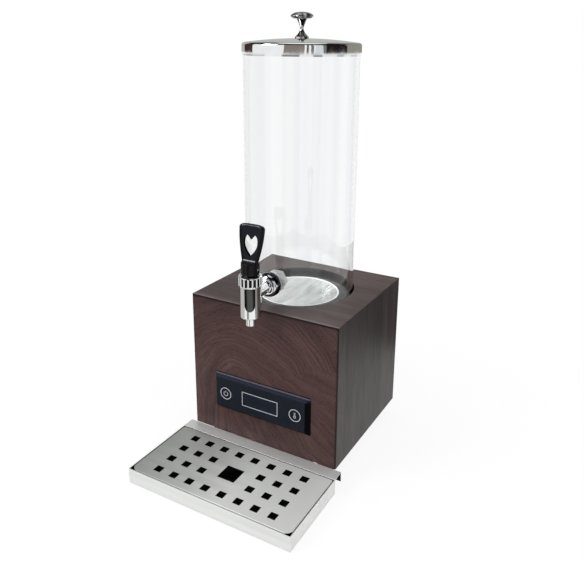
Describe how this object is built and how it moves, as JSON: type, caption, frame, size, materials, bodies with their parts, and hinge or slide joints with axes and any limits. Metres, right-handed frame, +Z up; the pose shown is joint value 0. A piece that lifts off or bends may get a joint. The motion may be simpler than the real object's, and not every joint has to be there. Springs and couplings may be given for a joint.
{
  "type": "electric beverage dispenser",
  "caption": "Countertop drink dispenser: a clear lidded tank with a lever tap stands in a cooled wooden cabinet with a control panel and a hooked-on drip tray.",
  "frame": {"origin": "middle of the whole outline, on the table that the feet and the tray stand on", "axes": "+Z up along the tank, -Y towards the person who draws a drink, +X to that person's right"},
  "size_m": [0.239, 0.332, 0.5843],
  "materials": {
    "walnut_veneer": "satin veneer",
    "pine": "sawn",
    "sheet_steel": "satin",
    "plain_steel": "plain",
    "polished_chrome": "mirror",
    "gloss_black": "gloss",
    "smoked_lens": "gloss",
    "matte_black": "moulded",
    "black_rubber": "matte",
    "clear_plastic": "clear",
    "clear_silicone": "translucent",
    "grey_foam": "foam",
    "bare_aluminium": "mill",
    "white_ceramic": "matte",
    "green_board": "lacquered",
    "inlet_brass": "plain",
    "brown_wire": "sheath",
    "red_wire": "sheath"
  },
  "bodies": {
    "base": {"front_board": "walnut_veneer", "rear_board": "walnut_veneer", "left_board": "walnut_veneer", "right_board": "walnut_veneer", "top_board": "walnut_veneer", "corner_battens": "pine", "base_plate": "sheet_steel", "tray_hanger": "sheet_steel", "foot_screws": "plain_steel", "hanger_screws": "plain_steel", "dish_screws": "plain_steel", "sink_screws": "plain_steel", "fan_screws": "plain_steel", "temp_probe": "plain_steel", "supply_screws": "plain_steel", "rear_screws": "plain_steel", "panel_screws": "plain_steel", "board_screws": "plain_steel", "panel_bezel": "gloss_black", "display_lens": "smoked_lens", "seat_dish": "matte_black", "fan_frame": "matte_black", "mains_inlet": "matte_black", "rear_vent": "matte_black", "tact_switches": "matte_black", "display_module": "matte_black", "feet": "black_rubber", "insulation_ring": "grey_foam", "cold_plate": "bare_aluminium", "heat_sink": "bare_aluminium", "power_supply": "bare_aluminium", "peltier_module": "white_ceramic", "control_board": "green_board", "inlet_pins": "inlet_brass", "mains_wires": "brown_wire", "control_wires": "red_wire"},
    "fan": {"fan_rotor": "matte_black"},
    "button_left": {"button_left": "gloss_black"},
    "button_right": {"button_right": "gloss_black"},
    "tank": {"tank_tube": "clear_plastic", "tank_floor_ring": "clear_plastic", "tank_floor_plate": "sheet_steel", "floor_seal": "clear_silicone", "tap_body": "polished_chrome", "tap_outer_washer": "clear_silicone", "tap_inner_washer": "clear_silicone", "tap_nut": "plain_steel", "tap_bonnet": "polished_chrome", "tap_ring_nut": "polished_chrome", "valve_spring": "plain_steel"},
    "lid": {"lid": "polished_chrome", "lid_gasket": "clear_silicone", "lid_knob": "polished_chrome", "knob_screw": "plain_steel"},
    "stem": {"valve_stem": "plain_steel", "seat_plug": "clear_silicone"},
    "lever": {"tap_lever": "gloss_black", "lever_pin": "plain_steel"},
    "tray": {"drip_tray": "sheet_steel"},
    "grille": {"drip_grille": "sheet_steel"}
  },
  "joints": [
    {"name": "tank_lift", "type": "slide", "parent": "base", "child": "tank", "axis": [0, 0, 1], "range_m": [0, 0.15]},
    {"name": "lid_lift", "type": "slide", "parent": "tank", "child": "lid", "axis": [0, 0, 1], "range_m": [0, 0.1]},
    {"name": "stem_lift", "type": "slide", "parent": "tank", "child": "stem", "axis": [0, 0, 1], "range_m": [0, 0.006], "deforming": ["valve_spring"]},
    {"name": "lever_pull", "type": "hinge", "parent": "stem", "child": "lever", "pos_m": [0, -0.06, 0.2813], "axis": [1, 0, 0], "range_deg": [0, 35], "stiffness_Nm_per_rad": 0.3},
    {"name": "tray_lift", "type": "slide", "parent": "base", "child": "tray", "axis": [0, 0, 1], "range_m": [0, 0.025]},
    {"name": "grille_lift", "type": "slide", "parent": "tray", "child": "grille", "axis": [0, 0, 1], "range_m": [0, 0.06]},
    {"name": "button_left_press", "type": "slide", "parent": "base", "child": "button_left", "axis": [0, 1, 0], "range_m": [0, 0.0008], "stiffness_N_per_m": 1000},
    {"name": "button_right_press", "type": "slide", "parent": "base", "child": "button_right", "axis": [0, 1, 0], "range_m": [0, 0.0008], "stiffness_N_per_m": 1000},
    {"name": "fan_spin", "type": "hinge", "parent": "base", "child": "fan", "pos_m": [0, 0.064, 0.135], "axis": [0, 0, 1], "continuous": true}
  ],
  "couplings": [
    {"joint": "stem_lift", "follows": "lever_pull", "m_per_rad": 0.009}
  ]
}
